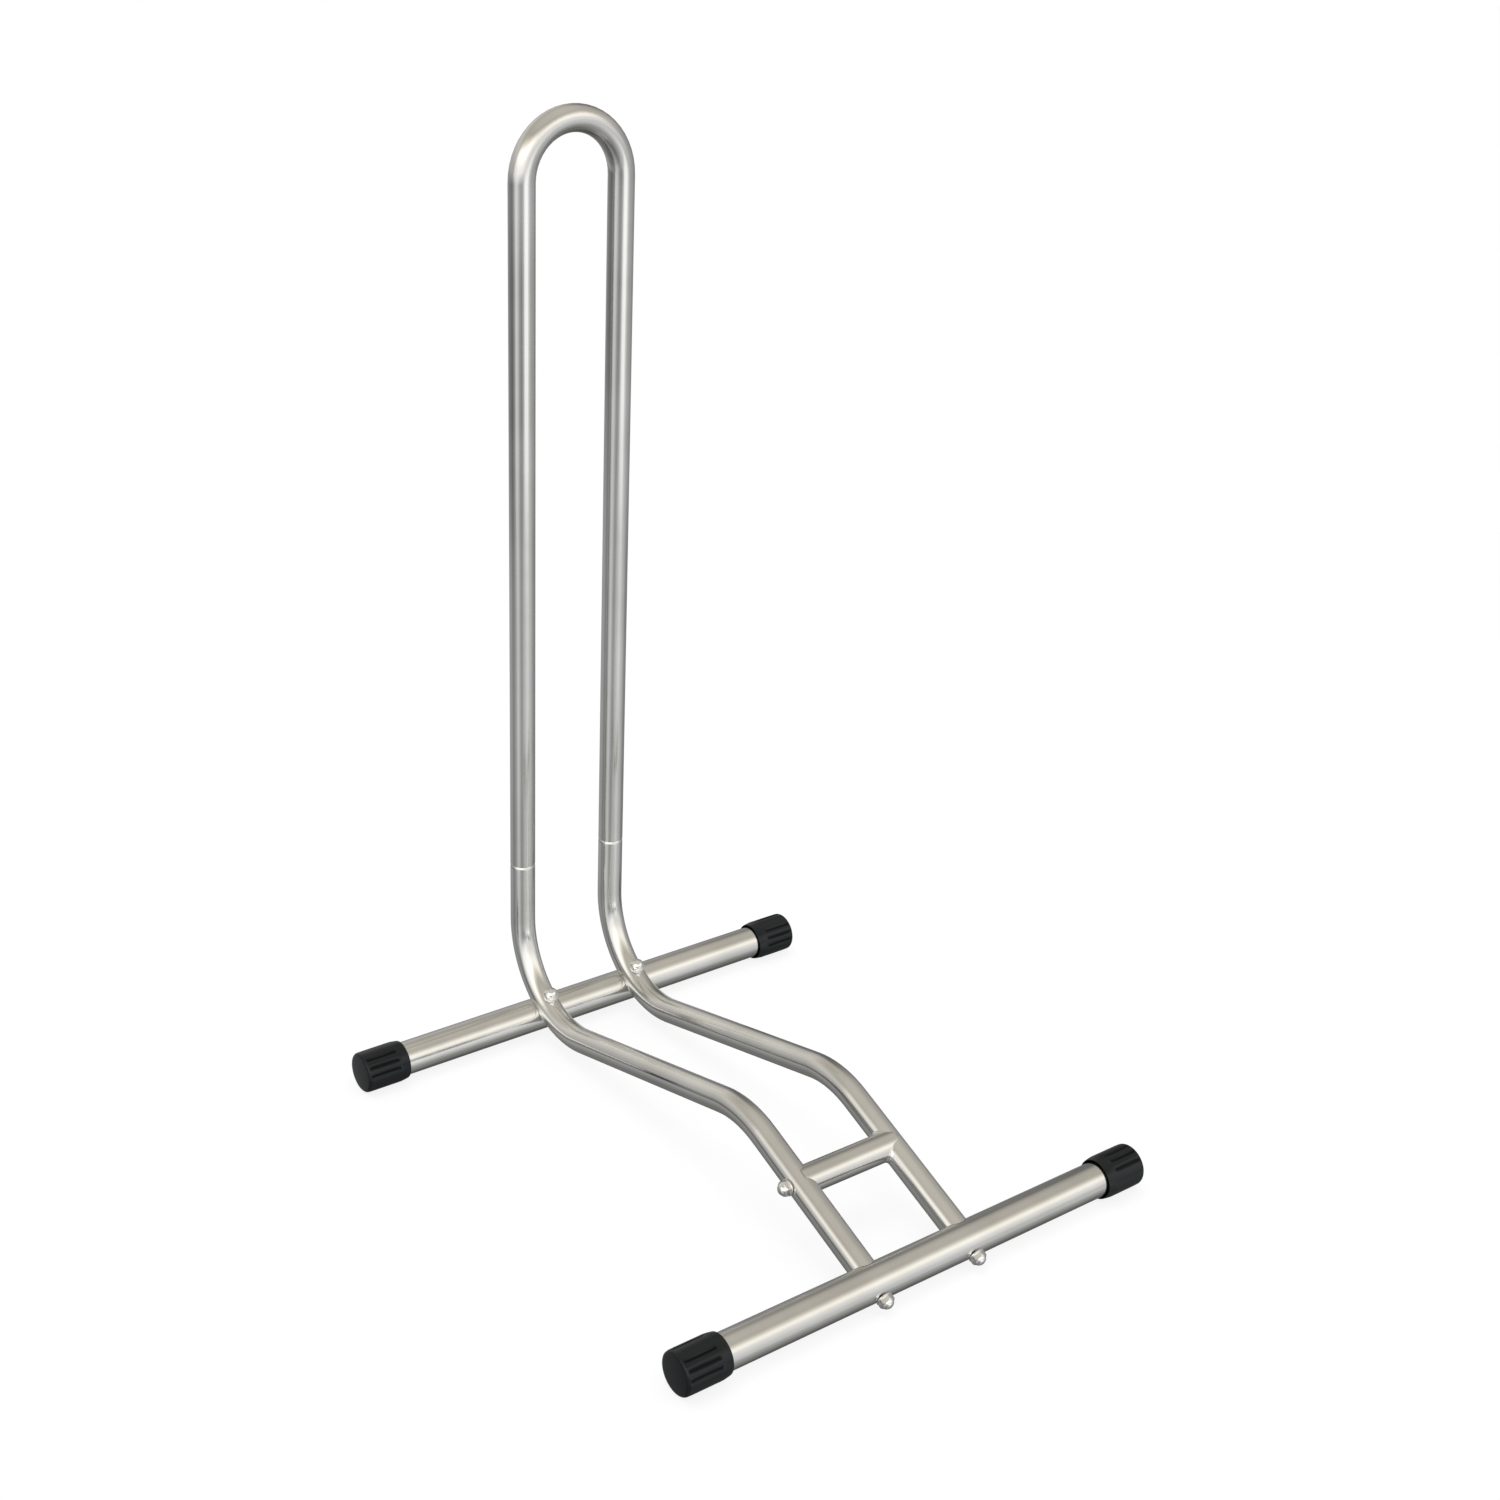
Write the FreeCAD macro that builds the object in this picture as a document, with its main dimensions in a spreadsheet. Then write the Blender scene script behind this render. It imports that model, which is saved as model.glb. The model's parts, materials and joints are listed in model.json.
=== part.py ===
"""Floor stand for one bicycle wheel: a tall plug-on hoop over two bent frame tubes, on two capped base tubes.

Units are millimetres. +X is across the stand, -Y is the side a wheel rolls in from, +Z is up.
The origin is on the floor, under the middle of the stand's outer box.
"""

import FreeCAD
import Part

import math
import os

import Sketcher
from FreeCAD import Placement, Rotation, Vector

DRIVING_SIZES = [
    ("frame_od", 19.0),  # outside of the hoop and the two frame tubes
    ("frame_wall", 1.5),
    ("base_od", 25.4),  # outside of the two floor tubes
    ("base_wall", 1.5),
    ("base_length", 392.0),
    ("base_spacing", 403.5),  # front floor tube to rear floor tube, axis to axis
    ("axis_height", 15.0),  # floor to the axis of a floor tube
    ("leg_spacing", 81.0),  # left leg to right leg, axis to axis
    ("leg_setback", 27.4),  # upright legs behind the rear floor tube
    ("stand_height", 700.0),
    ("seam_height", 135.0),  # where the hoop plugs on
    ("spigot_length", 45.0),
    ("spigot_wall", 1.2),
    ("spigot_lead", 0.8),  # chamfer at the top of a spigot
    ("slip_gap", 0.1),  # spigot to hoop bore, on the radius
    ("swage_height", 3.0),  # rounded shoulder under the seam
    ("seat_ring", 0.4),  # flat ring of the shoulder that the hoop stands on
    ("bend_radius", 70.0),  # foot bend of a frame tube
    ("hump_radius", 75.0),  # bend over the wheel ramp
    ("rise_angle", 14.3),  # run from the foot bend up to the hump
    ("slope_angle", 21.3),  # run from the hump down to the front floor tube
    ("saddle_depth", 8.2),  # how far a frame tube sinks into the rear floor tube
    ("bar_od", 20.6),
    ("bar_wall", 1.5),
    ("bar_distance", 86.0),  # front floor tube to crossbar, along the slope
    ("cap_od", 30.8),
    ("cap_length", 35.5),
    ("cap_end", 3.5),  # thickness of the closed end
    ("cap_taper", 6.0),  # length of the cone at the open end
    ("cap_lip", 1.8),  # wall at the open end, before its inner edge is eased
    ("cap_mouth", 1.3),  # how wide the inner edge of the open end is eased
    ("cap_edge", 2.5),  # rounding of the closed end
    ("cap_crown", 0.6),  # how far the closed end swells
    ("groove_radius", 2.0),
    ("groove_depth", 0.9),
    ("groove_pitch", 25.0),  # degrees from one grip groove to the next
    ("groove_groups", 106.0),  # degrees from the front group of grooves to the back group
    ("bolt_od", 6.0),
    ("bolt_lead", 0.6),
    ("hex_flats", 10.0),
    ("hex_height", 4.0),
    ("dome_height", 2.8),
    ("dome_od", 9.0),
    ("washer_od", 12.0),
    ("washer_thick", 1.0),
    ("plug_length", 18.0),  # threaded plugs in the frame tubes and the crossbar
    ("plug_depth", 3.0),  # from the end of a tube in to its plug
    ("insert_od", 9.0),  # threaded inserts in the rear floor tube
    ("insert_flange", 12.0),
    ("insert_flange_thick", 1.2),
    ("insert_length", 12.0),
    ("bolt_bite", 14.0),  # thread that is in a plug or an insert
    ("hole_gap", 0.3),  # bolt to a plain hole, on the radius
    ("thread_gap", 0.05),  # bolt to a threaded bore, on the radius
    ("fit_gap", 0.1),  # between pieces that are pushed or drawn together
]

# Turn of each foot cap on its tube: degrees from the front, upwards, to the middle of its front grooves.
CAP_TURNS = {"front_left": 37.0, "front_right": 73.0, "rear_left": 37.0, "rear_right": 28.0}
GROOVES_IN_GROUP = 3
SIDES = {"left": -1, "right": 1}
BOLTED_BAR_SIDE = "left"  # the crossbar's other end is welded to its frame tube
HEX_SIDES = 6

# Heights and reaches of a frame tube's centreline, from the foot of its upright leg.
SADDLE_REACH = "(Sizes.bend_radius + Sizes.frame_od / 2 + Sizes.base_od / 2 - Sizes.saddle_depth)"
BEND_HEIGHT = f"Sizes.axis_height + sqrt({SADDLE_REACH} ^ 2 - (Sizes.bend_radius - Sizes.leg_setback) ^ 2)"
FRONT_END_BACK = "Sizes.base_spacing + Sizes.leg_setback - Sizes.base_od / 4 * cos(Sizes.slope_angle)"
FRONT_END_UP = "Sizes.axis_height + Sizes.base_od / 4 * sin(Sizes.slope_angle)"

doc = FreeCAD.newDocument("bike_stand")
sheet = doc.addObject("Spreadsheet::Sheet", "Sizes")
for row, (alias, number) in enumerate(DRIVING_SIZES, start=1):
    sheet.set(f"A{row}", alias)
    sheet.set(f"B{row}", str(number))
    sheet.setAlias(f"B{row}", alias)
doc.recompute()


def size(alias):
    """The number in a cell of the sheet."""
    return float(sheet.get(alias))


def bind(item, **expressions):
    """Ties properties of an object to the sheet; double underscores stand for dots."""
    for name, expression in expressions.items():
        item.setExpression(name.replace("__", "."), expression)


# Places that follow from the driving sizes, in the plane of one frame tube (y, z).
frame_r = size("frame_od") / 2
base_r = size("base_od") / 2
slope = math.radians(size("slope_angle"))
rise = math.radians(size("rise_angle"))
hex_corner = size("hex_flats") / math.sqrt(3)
head_reach = base_r + size("fit_gap") + size("washer_thick") + size("hex_height")
front_reach = max(size("cap_od") / 2, (head_reach + size("dome_height")) * math.cos(slope))
depth = front_reach + size("base_spacing") + size("leg_setback") + frame_r
front_y = front_reach - depth / 2
rear_y = front_y + size("base_spacing")
leg_y = rear_y + size("leg_setback")
axis_z = size("axis_height")
bend_y = leg_y - size("bend_radius")
saddle_reach = size("bend_radius") + frame_r + base_r - size("saddle_depth")
bend_z = axis_z + math.sqrt(saddle_reach**2 - (rear_y - bend_y) ** 2)
saddle_up = Vector(0, (bend_y - rear_y) / saddle_reach, (bend_z - axis_z) / saddle_reach)
slope_up = Vector(0, math.cos(slope), math.sin(slope))
front_axis = Vector(0, front_y, axis_z)
rear_axis = Vector(0, rear_y, axis_z)
bar_axis = front_axis + slope_up * size("bar_distance")
half_spacing = size("leg_spacing") / 2


def turned(z_axis, origin, x_hint=Vector(1, 0, 0)):
    """A placement at origin whose own z runs along z_axis."""
    y_axis = z_axis.cross(x_hint)
    return Placement(origin, Rotation(y_axis.cross(z_axis), y_axis, z_axis, "ZXY"))


def new_body(label, placement):
    body = doc.addObject("PartDesign::Body", label)
    body.Label = label
    body.Placement = placement
    return body


def new_sketch(body, name, plane, lift=None):
    """A sketch on one of the body's own planes, lifted off it by an expression where one is given."""
    sketch = body.newObject("Sketcher::SketchObject", f"{body.Label}_{name}")
    support = next(item for item in body.Origin.OriginFeatures if item.Role == plane)
    sketch.AttachmentSupport = (support, [""])
    sketch.MapMode = "FlatFace"
    if lift:
        bind(sketch, AttachmentOffset__Base__z=lift)
    return sketch


def tie(sketch, expression, *constraint):
    """Adds a sized constraint whose number comes from the sheet."""
    index = sketch.addConstraint(Sketcher.Constraint(*constraint))
    sketch.setExpression(f"Constraints[{index}]", expression)


def ring(sketch, diameters, place=(0, 0)):
    """Circles round one place, each (expression, number)."""
    for expression, number in diameters:
        index = sketch.addGeometry(Part.Circle(Vector(*place, 0), Vector(0, 0, 1), number / 2))
        tie(sketch, expression, "Diameter", index, number)


def outline(sketch, points):
    """A closed outline; a point given with a third value is the middle of an arc to the next point."""
    count = len(points)
    start = 0
    while start < count:
        here = Vector(*points[start], 0)
        middle = points[(start + 1) % count]
        if len(middle) == 3:
            there = Vector(*points[(start + 2) % count], 0)
            sketch.addGeometry(Part.Arc(here, Vector(*middle[:2], 0), there))
            start += 2
        else:
            sketch.addGeometry(Part.LineSegment(here, Vector(*middle, 0)))
            start += 1


def revolve(body, sketch, name):
    feature = body.newObject("PartDesign::Revolution", f"{body.Label}_{name}")
    feature.Profile = sketch
    feature.ReferenceAxis = (sketch, ["V_Axis"])
    feature.Angle = 360
    return feature


def pad(body, sketch, name, length):
    feature = body.newObject("PartDesign::Pad", f"{body.Label}_{name}")
    feature.Profile = sketch
    bind(feature, Length=length)
    return feature


def pocket_through(body, sketch, name):
    feature = body.newObject("PartDesign::Pocket", f"{body.Label}_{name}")
    feature.Profile = sketch
    feature.Type = "ThroughAll"
    feature.Midplane = True
    return feature


def pipe(body, spine, profile, name):
    feature = body.newObject("PartDesign::AdditivePipe", f"{body.Label}_{name}")
    feature.Profile = profile
    feature.Spine = spine
    return feature


def rod(name, radius, height, placement):
    """A plain cylinder whose radius and height are expressions, along the placement's z from its origin."""
    item = doc.addObject("Part::Cylinder", name)
    bind(item, Radius=radius, Height=height)
    item.Placement = placement
    return item


def centred(placement, length):
    """The same placement, moved back along its own z by half of length."""
    return placement.multiply(Placement(Vector(0, 0, -length / 2), Rotation()))


def fused(name, items):
    item = doc.addObject("Part::MultiFuse", name)
    item.Shapes = items
    return item


def cut(name, base, tool):
    item = doc.addObject("Part::Cut", name)
    item.Base = base
    item.Tool = tool
    item.Label = name
    return item


def make_hoop():
    """The tall hoop: two upright legs joined by a half circle, open at the bottom."""
    body = new_body("upper_hoop", Placement(Vector(0, leg_y, 0), Rotation()))
    seam = size("seam_height")
    crown = size("stand_height") - frame_r - half_spacing
    spine = new_sketch(body, "spine", "XZ_Plane")
    foot_left, top_left = Vector(-half_spacing, seam, 0), Vector(-half_spacing, crown, 0)
    foot_right, top_right = Vector(half_spacing, seam, 0), Vector(half_spacing, crown, 0)
    left = spine.addGeometry(Part.LineSegment(foot_left, top_left))
    arch = spine.addGeometry(Part.Arc(top_left, Vector(0, crown + half_spacing, 0), top_right))
    right = spine.addGeometry(Part.LineSegment(top_right, foot_right))
    spine.addConstraint(Sketcher.Constraint("Vertical", left))
    spine.addConstraint(Sketcher.Constraint("Vertical", right))
    spine.addConstraint(Sketcher.Constraint("Tangent", left, 2, arch, 2))
    spine.addConstraint(Sketcher.Constraint("Tangent", arch, 1, right, 1))
    spine.addConstraint(Sketcher.Constraint("Horizontal", left, 1, right, 2))
    tie(spine, "Sizes.leg_spacing / 2", "DistanceX", left, 1, -1, 1, half_spacing)
    tie(spine, "Sizes.leg_spacing", "DistanceX", left, 1, right, 2, 2 * half_spacing)
    tie(spine, "Sizes.seam_height", "DistanceY", -1, 1, left, 1, seam)
    crown_height = "Sizes.stand_height - Sizes.frame_od / 2 - Sizes.leg_spacing / 2"
    tie(spine, crown_height, "DistanceY", -1, 1, left, 2, crown)
    profile = new_sketch(body, "profile", "XY_Plane", "Sizes.seam_height")
    bore = size("frame_od") - 2 * size("frame_wall")
    place = (-half_spacing, 0)
    ring(profile, [("Sizes.frame_od", 2 * frame_r), ("Sizes.frame_od - 2 * Sizes.frame_wall", bore)], place)
    pipe(body, spine, profile, "tube")
    return body


def frame_corners():
    """Points of a frame tube's centreline from the top of the leg to the front, in the leg's own (y, z)."""
    rise_down = Vector(-math.sin(rise), -math.cos(rise), 0)
    rise_on = Vector(-math.cos(rise), math.sin(rise), 0)
    bend_centre = Vector(-size("bend_radius"), bend_z, 0)
    bend_end = bend_centre + rise_down * size("bend_radius")
    bend_middle_way = Vector(math.cos((math.pi / 2 + rise) / 2), -math.sin((math.pi / 2 + rise) / 2), 0)
    front = Vector(front_y - leg_y, axis_z, 0)
    slope_on = Vector(math.cos(slope), math.sin(slope), 0)
    turn = rise + slope
    gap = bend_end - front
    along_slope = (gap.x * rise_on.y - gap.y * rise_on.x) / (slope_on.x * rise_on.y - slope_on.y * rise_on.x)
    hump = front + slope_on * along_slope
    tangent = size("hump_radius") * math.tan(turn / 2)
    hump_start, hump_end = hump - rise_on * tangent, hump - slope_on * tangent
    hump_centre = hump_start + rise_down * size("hump_radius")
    hump_middle = hump_centre + (hump - hump_centre).normalize() * size("hump_radius")
    return {
        "top": Vector(0, size("seam_height") - size("swage_height"), 0),
        "bend_start": Vector(0, bend_z, 0),
        "bend_middle": bend_centre + bend_middle_way * size("bend_radius"),
        "bend_end": bend_end,
        "hump_start": hump_start,
        "hump_middle": hump_middle,
        "hump_end": hump_end,
        "front": front + slope_on * (base_r / 2),
    }


def make_frame_tube(side):
    """A bent tube: swaged spigot, upright leg, foot bend, rise, hump and slope, coped at its front end."""
    body = new_body(f"{side}_frame_tube", Placement(Vector(SIDES[side] * half_spacing, leg_y, 0), Rotation()))
    at = frame_corners()
    spine = new_sketch(body, "spine", "YZ_Plane")
    leg = spine.addGeometry(Part.LineSegment(at["top"], at["bend_start"]))
    bend = spine.addGeometry(Part.Arc(at["bend_start"], at["bend_middle"], at["bend_end"]))
    run = spine.addGeometry(Part.LineSegment(at["bend_end"], at["hump_start"]))
    hump = spine.addGeometry(Part.Arc(at["hump_start"], at["hump_middle"], at["hump_end"]))
    slope_run = spine.addGeometry(Part.LineSegment(at["hump_end"], at["front"]))
    spine.addConstraint(Sketcher.Constraint("Vertical", leg))
    spine.addConstraint(Sketcher.Constraint("PointOnObject", leg, 1, -2))
    spine.addConstraint(Sketcher.Constraint("Tangent", leg, 2, bend, 2))
    spine.addConstraint(Sketcher.Constraint("Tangent", bend, 1, run, 1))
    spine.addConstraint(Sketcher.Constraint("Tangent", run, 2, hump, 1))
    spine.addConstraint(Sketcher.Constraint("Tangent", hump, 2, slope_run, 1))
    tie(spine, "Sizes.bend_radius", "Radius", bend, size("bend_radius"))
    tie(spine, "Sizes.hump_radius", "Radius", hump, size("hump_radius"))
    tie(spine, "Sizes.seam_height - Sizes.swage_height", "DistanceY", -1, 1, leg, 1, at["top"].y)
    tie(spine, BEND_HEIGHT, "DistanceY", -1, 1, bend, 3, bend_z)
    tie(spine, "180 - Sizes.rise_angle", "Angle", run, math.pi - rise)
    tie(spine, "Sizes.slope_angle - 180", "Angle", slope_run, slope - math.pi)
    tie(spine, FRONT_END_BACK, "DistanceX", slope_run, 2, -1, 1, -at["front"].x)
    tie(spine, FRONT_END_UP, "DistanceY", -1, 1, slope_run, 2, at["front"].y)
    profile = new_sketch(body, "profile", "XY_Plane", "Sizes.seam_height - Sizes.swage_height")
    bore = size("frame_od") - 2 * size("frame_wall")
    ring(profile, [("Sizes.frame_od", 2 * frame_r), ("Sizes.frame_od - 2 * Sizes.frame_wall", bore)])
    pipe(body, spine, profile, "tube")
    add_spigot(body, bore / 2)
    cope = new_sketch(body, "cope", "YZ_Plane")
    coped = size("base_od") + 2 * size("fit_gap")
    ring(cope, [("Sizes.base_od + 2 * Sizes.fit_gap", coped)], (front_y - leg_y, axis_z))
    pocket_through(body, cope, "cope_cut")
    if side == BOLTED_BAR_SIDE:
        bar_hole = new_sketch(body, "bar_hole", "YZ_Plane")
        hole = size("bolt_od") + 2 * size("hole_gap")
        ring(bar_hole, [("Sizes.bolt_od + 2 * Sizes.hole_gap", hole)], (bar_axis.y - leg_y, bar_axis.z))
        pocket_through(body, bar_hole, "bar_hole_cut")
    doc.recompute()
    x = SIDES[side] * half_spacing
    drill = rod(
        f"{side}_frame_drill",
        "Sizes.bolt_od / 2 + Sizes.hole_gap",
        "Sizes.base_od + Sizes.frame_od",
        turned(saddle_up, rear_axis + Vector(x, 0, 0)),
    )
    body.Label = f"{side}_frame_body"
    return cut(f"{side}_frame_tube", body, drill)


def add_spigot(body, bore_r):
    """The drawn-down top of a frame tube: a rounded shoulder, a flat seat ring and the spigot."""
    seam = size("seam_height")
    spigot_r = bore_r - size("slip_gap")
    seat_r = bore_r + size("seat_ring")
    shoulder = frame_r - seat_r
    swell = (size("swage_height") ** 2 + shoulder**2) / (2 * shoulder)
    half_turn = math.asin(size("swage_height") / swell) / 2
    shoulder_middle = (
        frame_r - swell * (1 - math.cos(half_turn)),
        seam - size("swage_height") + swell * math.sin(half_turn),
        True,
    )
    tip = seam + size("spigot_length")
    inside = spigot_r - size("spigot_wall")
    sketch = new_sketch(body, "spigot", "YZ_Plane")
    outline(
        sketch,
        [
            (frame_r, seam - size("swage_height")),
            shoulder_middle,
            (seat_r, seam),
            (spigot_r, seam),
            (spigot_r, tip - size("spigot_lead")),
            (spigot_r - size("spigot_lead") / 2, tip),
            (inside, tip),
            (inside, seam),
            (bore_r, seam - size("swage_height")),
        ],
    )
    revolve(body, sketch, "spigot_turn")


def tube_blank(name, middle, od, wall, length):
    """An outer and an inner cylinder for a straight tube that lies across the stand, round its middle."""
    whole = centred(turned(Vector(1, 0, 0), middle, Vector(0, 1, 0)), size(length))
    outer = rod(f"{name}_outer", f"Sizes.{od} / 2", f"Sizes.{length}", whole)
    inner = rod(f"{name}_inner", f"Sizes.{od} / 2 - Sizes.{wall}", f"Sizes.{length}", whole)
    return outer, inner


def make_front_base_tube():
    """The front floor tube, drilled through for the two bolts into the frame tubes."""
    outer, inner = tube_blank("front_base", front_axis, "base_od", "base_wall", "base_length")
    drills = [
        rod(
            f"front_base_drill_{side}",
            "Sizes.bolt_od / 2 + Sizes.hole_gap",
            "2 * Sizes.base_od",
            centred(turned(slope_up, front_axis + Vector(sign * half_spacing, 0, 0)), 2 * size("base_od")),
        )
        for side, sign in SIDES.items()
    ]
    return cut("front_base_tube", outer, fused("front_base_tools", [inner, *drills]))


def saddle(name, sign, radius):
    """The path of a frame tube's foot bend past the rear floor tube, as a torus."""
    item = doc.addObject("Part::Torus", name)
    bind(item, Radius1="Sizes.bend_radius", Radius2=radius)
    item.Placement = turned(Vector(1, 0, 0), Vector(sign * half_spacing, bend_y, bend_z), Vector(0, 1, 0))
    return item


def make_rear_base_tube():
    """The rear floor tube: its wall is pressed in to a saddle with an insert's hole under each frame tube."""
    outer, inner = tube_blank("rear_base", rear_axis, "base_od", "base_wall", "base_length")
    seat = "Sizes.frame_od / 2 + Sizes.fit_gap"
    back = f"{seat} + Sizes.base_wall"
    dents = [saddle(f"rear_dent_{side}", sign, seat) for side, sign in SIDES.items()]
    backs = [saddle(f"rear_dent_back_{side}", sign, back) for side, sign in SIDES.items()]
    drills = [
        rod(
            f"rear_base_drill_{side}",
            "Sizes.insert_od / 2 + Sizes.thread_gap",
            "Sizes.base_od / 2",
            turned(saddle_up, rear_axis + Vector(sign * half_spacing, 0, 0)),
        )
        for side, sign in SIDES.items()
    ]
    shell = cut("rear_base_pressed", outer, fused("rear_base_dents", dents))
    hollow = cut("rear_base_hollow", inner, fused("rear_base_backs", backs))
    return cut("rear_base_tube", shell, fused("rear_base_tools", [hollow, *drills]))


def make_crossbar():
    """The rung between the frame tubes, coped round them: one end is bolted and the other is welded."""
    outer, inner = tube_blank("crossbar", bar_axis, "bar_od", "bar_wall", "leg_spacing")
    copes = [
        rod(
            f"crossbar_cope_{side}",
            "Sizes.frame_od / 2 + Sizes.fit_gap",
            "2 * Sizes.bar_od",
            centred(turned(slope_up, bar_axis + Vector(sign * half_spacing, 0, 0)), 2 * size("bar_od")),
        )
        for side, sign in SIDES.items()
    ]
    return cut("crossbar", outer, fused("crossbar_tools", [inner, *copes]))


def make_foot_cap(corner):
    """A ribbed rubber cap pushed over one end of a floor tube, with a small flat where it stands."""
    end, side = corner.split("_")
    sign = SIDES[side]
    axis = front_axis if end == "front" else rear_axis
    mouth = sign * (size("base_length") / 2 + size("cap_end") - size("cap_length"))
    rotation = Rotation(Vector(0, sign, 0), Vector(0, 0, 1), Vector(sign, 0, 0), "ZXY")
    body = new_body(f"{corner}_foot_cap", Placement(axis + Vector(mouth, 0, 0), rotation))
    cap_r = size("cap_od") / 2
    bore_r = base_r + size("fit_gap")
    length, edge, crown = size("cap_length"), size("cap_edge"), size("cap_crown")
    corner_cut = edge * (1 - math.sqrt(0.5))
    shell = new_sketch(body, "shell", "XZ_Plane")
    outline(
        shell,
        [
            (bore_r, 2 * size("cap_mouth")),
            (bore_r + size("cap_mouth"), 0),
            (bore_r + size("cap_lip"), 0),
            (cap_r, size("cap_taper")),
            (cap_r, length - crown - edge),
            (cap_r - corner_cut, length - crown - corner_cut, True),
            (cap_r - edge, length - crown),
            (0, length),
            (0, length - size("cap_end") + size("fit_gap")),
            (bore_r, length - size("cap_end") + size("fit_gap")),
        ],
    )
    revolve(body, shell, "turn")
    grip = new_sketch(body, "grip", "XY_Plane", "Sizes.cap_taper + Sizes.groove_radius")
    centre_r = cap_r + size("groove_radius") - size("groove_depth")
    for group in range(2):
        for groove in range(GROOVES_IN_GROUP):
            step = groove - (GROOVES_IN_GROUP - 1) / 2
            turn = group * size("groove_groups") + step * size("groove_pitch")
            angle = math.radians(CAP_TURNS[corner] + turn)
            place = (-sign * centre_r * math.cos(angle), centre_r * math.sin(angle))
            ring(grip, [("2 * Sizes.groove_radius", 2 * size("groove_radius"))], place)
    grooves = body.newObject("PartDesign::Pocket", f"{corner}_grooves")
    grooves.Profile = grip
    grooves.Reversed = True
    bind(grooves, Length="Sizes.cap_length - Sizes.cap_taper - Sizes.groove_radius")
    flat = new_sketch(body, "flat", "XY_Plane")
    outline(flat, [(-cap_r, -axis_z), (cap_r, -axis_z), (cap_r, -2 * axis_z), (-cap_r, -2 * axis_z)])
    pocket_through(body, flat, "flat_cut")
    return body


def make_bolt(label, placement, length):
    """A bolt with a domed hexagon head; its own z points out of the head from the seat."""
    body = new_body(f"{label}_bolt", placement)
    shank_r, lead = size("bolt_od") / 2, size("bolt_lead")
    top, dome_r, dome = size("hex_height"), size("dome_od") / 2, size("dome_height")
    ball = (dome_r**2 + dome**2) / (2 * dome)
    half_turn = math.asin(dome_r / ball) / 2
    dome_middle = (ball * math.sin(half_turn), top + dome - ball * (1 - math.cos(half_turn)), True)
    shank = new_sketch(body, "shank", "XZ_Plane")
    outline(
        shank,
        [
            (0, -length),
            (shank_r - lead, -length),
            (shank_r, lead - length),
            (shank_r, top),
            (dome_r, top),
            dome_middle,
            (0, top + dome),
        ],
    )
    revolve(body, shank, "turn")
    hexagon = new_sketch(body, "hexagon", "XY_Plane")
    angles = [2 * math.pi * corner / HEX_SIDES for corner in range(HEX_SIDES)]
    outline(hexagon, [(hex_corner * math.cos(angle), hex_corner * math.sin(angle)) for angle in angles])
    pad(body, hexagon, "head", "Sizes.hex_height")
    return body


def make_washer(label, placement):
    """A flat washer under a bolt head; its own z points towards the head."""
    body = new_body(f"{label}_washer", placement)
    profile = new_sketch(body, "profile", "XY_Plane")
    bore = size("bolt_od") + 2 * size("hole_gap")
    ring(profile, [("Sizes.washer_od", size("washer_od")), ("Sizes.bolt_od + 2 * Sizes.hole_gap", bore)])
    pad(body, profile, "disc", "Sizes.washer_thick")
    return body


def make_plug(label, placement, outside, number):
    """A threaded plug fixed inside a tube; its own z points out of the tube's end."""
    body = new_body(f"{label}_plug", placement)
    profile = new_sketch(body, "profile", "XY_Plane")
    bore = size("bolt_od") + 2 * size("thread_gap")
    ring(profile, [(outside, number), ("Sizes.bolt_od + 2 * Sizes.thread_gap", bore)])
    pad(body, profile, "barrel", "Sizes.plug_length")
    return body


def make_insert(label, placement):
    """A flanged threaded insert held in a saddle's hole; its own z points out of the floor tube."""
    body = new_body(f"{label}_insert", placement)
    bore_r = size("bolt_od") / 2 + size("thread_gap")
    neck_r, flange_r = size("insert_od") / 2, size("insert_flange") / 2
    flange = size("insert_flange_thick")
    neck = size("base_wall")
    profile = new_sketch(body, "profile", "XZ_Plane")
    outline(
        profile,
        [
            (bore_r, neck),
            (neck_r, neck),
            (neck_r, 0),
            (flange_r, 0),
            (flange_r, -flange),
            (neck_r, -flange),
            (neck_r, neck - size("insert_length")),
            (bore_r, neck - size("insert_length")),
        ],
    )
    revolve(body, profile, "turn")
    return body


def make_fixing(label, seat, outward, grip):
    """A washer on its seat and a bolt; outward is the way the head faces, grip is what the two clamp."""
    washer = make_washer(label, turned(outward, seat))
    head = seat + outward * size("washer_thick")
    bolt = make_bolt(label, turned(outward, head), size("washer_thick") + grip + size("bolt_bite"))
    return [washer, bolt]


def make_rear_joint(side):
    """Bolt down through a frame tube's foot bend into an insert in the rear floor tube."""
    centre = rear_axis + Vector(SIDES[side] * half_spacing, 0, 0)
    inside_bend = size("bend_radius") - frame_r
    washer_r = size("washer_od") / 2
    hollow = inside_bend - math.sqrt(inside_bend**2 - washer_r**2)
    frame_at = saddle_reach - size("bend_radius")
    seat = frame_at + frame_r + hollow + size("fit_gap")
    saddle_back = frame_at - frame_r - size("fit_gap") - size("base_wall")
    swell = size("base_wall") + size("fit_gap") + frame_r
    drop = swell - math.sqrt(swell**2 - (size("insert_flange") / 2) ** 2)
    flange_at = saddle_back - size("fit_gap")
    grip = seat - flange_at - drop
    insert = make_insert(f"rear_{side}", turned(saddle_up, centre + saddle_up * flange_at))
    return [insert, *make_fixing(f"rear_{side}", centre + saddle_up * seat, saddle_up, grip)]


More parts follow.
